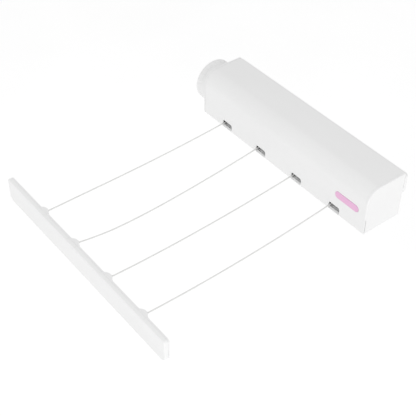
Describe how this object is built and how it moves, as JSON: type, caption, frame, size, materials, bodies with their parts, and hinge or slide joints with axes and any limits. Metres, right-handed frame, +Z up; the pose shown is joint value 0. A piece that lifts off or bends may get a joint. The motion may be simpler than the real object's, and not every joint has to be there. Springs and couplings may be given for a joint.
{
  "type": "retractable clothesline",
  "caption": "Wall-mounted retractable clothesline: a long white housing that pays out parallel drying lines on a flat pull bar, with a ratchet knob on its left end.",
  "frame": {"origin": "on the wall, 1 mm below the centre of the wall plate's flat back face", "axes": "+Y into the wall, -Y along the lines towards the room, +Z up, +X along the housing away from the knob"},
  "size_m": [0.4125, 0.4372, 0.1091],
  "materials": {
    "white_plastic": "satin moulded",
    "grey_plastic": "satin moulded",
    "pink_plastic": "smooth",
    "steel": "zinc plated",
    "line": "fine braid"
  },
  "bodies": {
    "housing": {"wall_plate": "white_plastic", "back_cover": "white_plastic", "front_cover": "white_plastic", "left_end_cap": "white_plastic", "right_end_cap": "white_plastic", "badge": "pink_plastic", "cover_screw_1": "steel", "cover_screw_2": "steel", "cover_screw_3": "steel", "cover_screw_4": "steel", "cover_screw_5": "steel", "cover_screw_6": "steel", "line_rail": "white_plastic", "guide_rod": "steel", "bush_left": "grey_plastic", "bush_right": "grey_plastic", "pawl_pin": "steel", "pawl_spring": "steel", "line_1": "line", "line_2": "line", "line_3": "line", "line_4": "line"},
    "bar": {"bar_front": "white_plastic", "bar_back": "white_plastic", "bar_screw_1": "steel", "bar_screw_2": "steel", "bar_screw_3": "steel", "bar_screw_4": "steel", "line_knot_1": "line", "line_knot_2": "line", "line_knot_3": "line", "line_knot_4": "line"},
    "roller": {"roller_shaft": "steel", "spool_1": "white_plastic", "spool_2": "white_plastic", "spool_3": "white_plastic", "spool_4": "white_plastic", "winding_1": "line", "winding_2": "line", "winding_3": "line", "winding_4": "line", "spacer_1": "grey_plastic", "spacer_2": "grey_plastic", "spacer_3": "grey_plastic", "spacer_4": "grey_plastic", "spacer_5": "grey_plastic", "shaft_washer": "steel", "shaft_screw": "steel"},
    "knob": {"knob": "white_plastic", "knob_cap": "white_plastic", "ratchet_ring": "grey_plastic"},
    "pawl": {"pawl": "grey_plastic"}
  },
  "joints": [
    {"name": "bar_pull", "type": "slide", "parent": "housing", "child": "bar", "axis": [0, -1, 0], "range_m": [-0.3468, 3.40495], "deforming": ["line_1", "line_2", "line_3", "line_4"]},
    {"name": "roller_spin", "type": "hinge", "parent": "housing", "child": "roller", "pos_m": [0, -0.0437, -0.015], "axis": [-1, 0, 0], "continuous": true},
    {"name": "knob_pull", "type": "slide", "parent": "roller", "child": "knob", "axis": [-1, 0, 0], "range_m": [0, 0.0065]},
    {"name": "pawl_lift", "type": "hinge", "parent": "housing", "child": "pawl", "pos_m": [-0.19, -0.0437, 0.0115], "axis": [-1, 0, 0], "range_deg": [0, 12], "stiffness_Nm_per_rad": 0.03, "springref_deg": -20.05, "deforming": ["pawl_spring"]}
  ],
  "couplings": [
    {"joint": "roller_spin", "follows": "bar_pull", "rad_per_m": 66.431}
  ]
}
